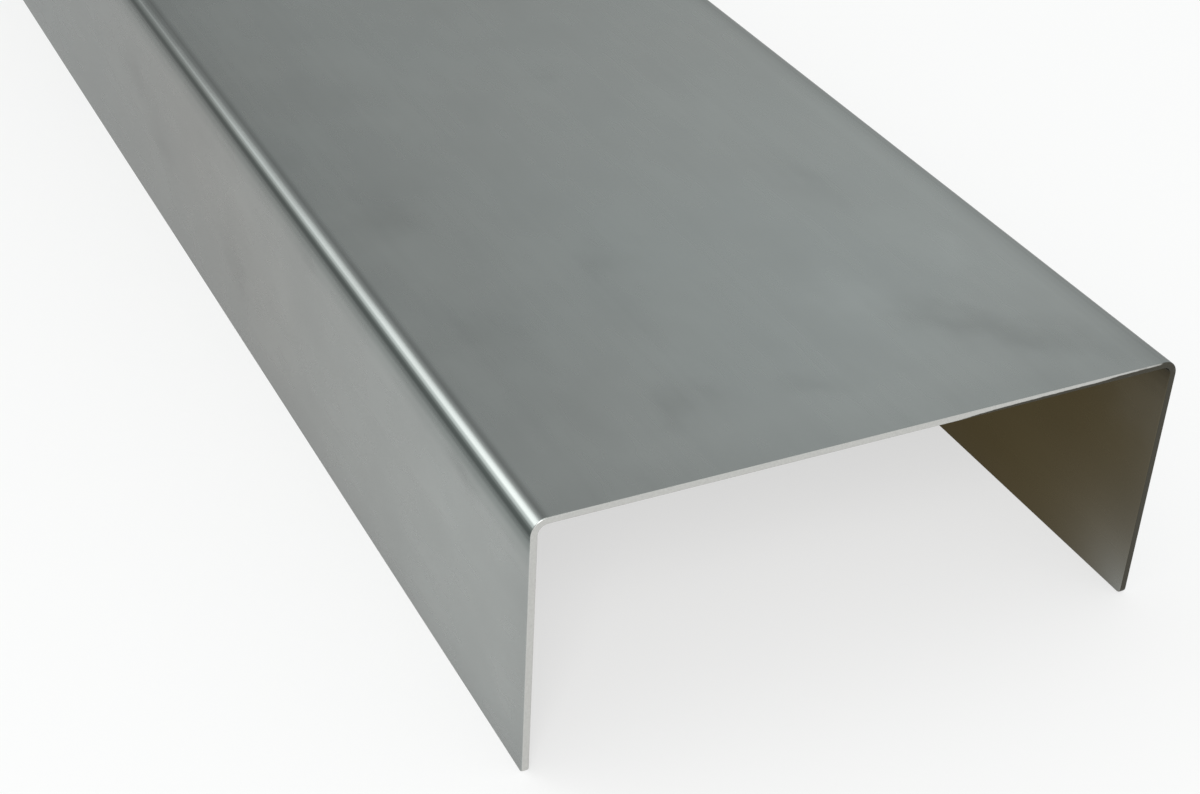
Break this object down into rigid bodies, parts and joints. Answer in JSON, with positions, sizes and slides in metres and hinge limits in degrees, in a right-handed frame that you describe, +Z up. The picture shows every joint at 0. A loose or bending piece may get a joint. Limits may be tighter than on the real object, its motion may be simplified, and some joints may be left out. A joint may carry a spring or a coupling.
{
  "type": "aluminium u-channel",
  "caption": "Folded sheet U-channel: wide flat web, lower flanges turned down square, softly rounded folds, square-cut open ends.",
  "frame": {"origin": "under the middle of the channel, on the plane of the flanges' free edges", "axes": "+X along the channel, +Y across the web, +Z up from the free edges to the web; it lies with its open side down"},
  "size_m": [1.2192, 0.1524, 0.0635],
  "materials": {
    "mill_aluminium": "satin mill finish with faint rolling lines along the length"
  },
  "bodies": {
    "root": {"channel": "mill_aluminium"}
  },
  "joints": []
}
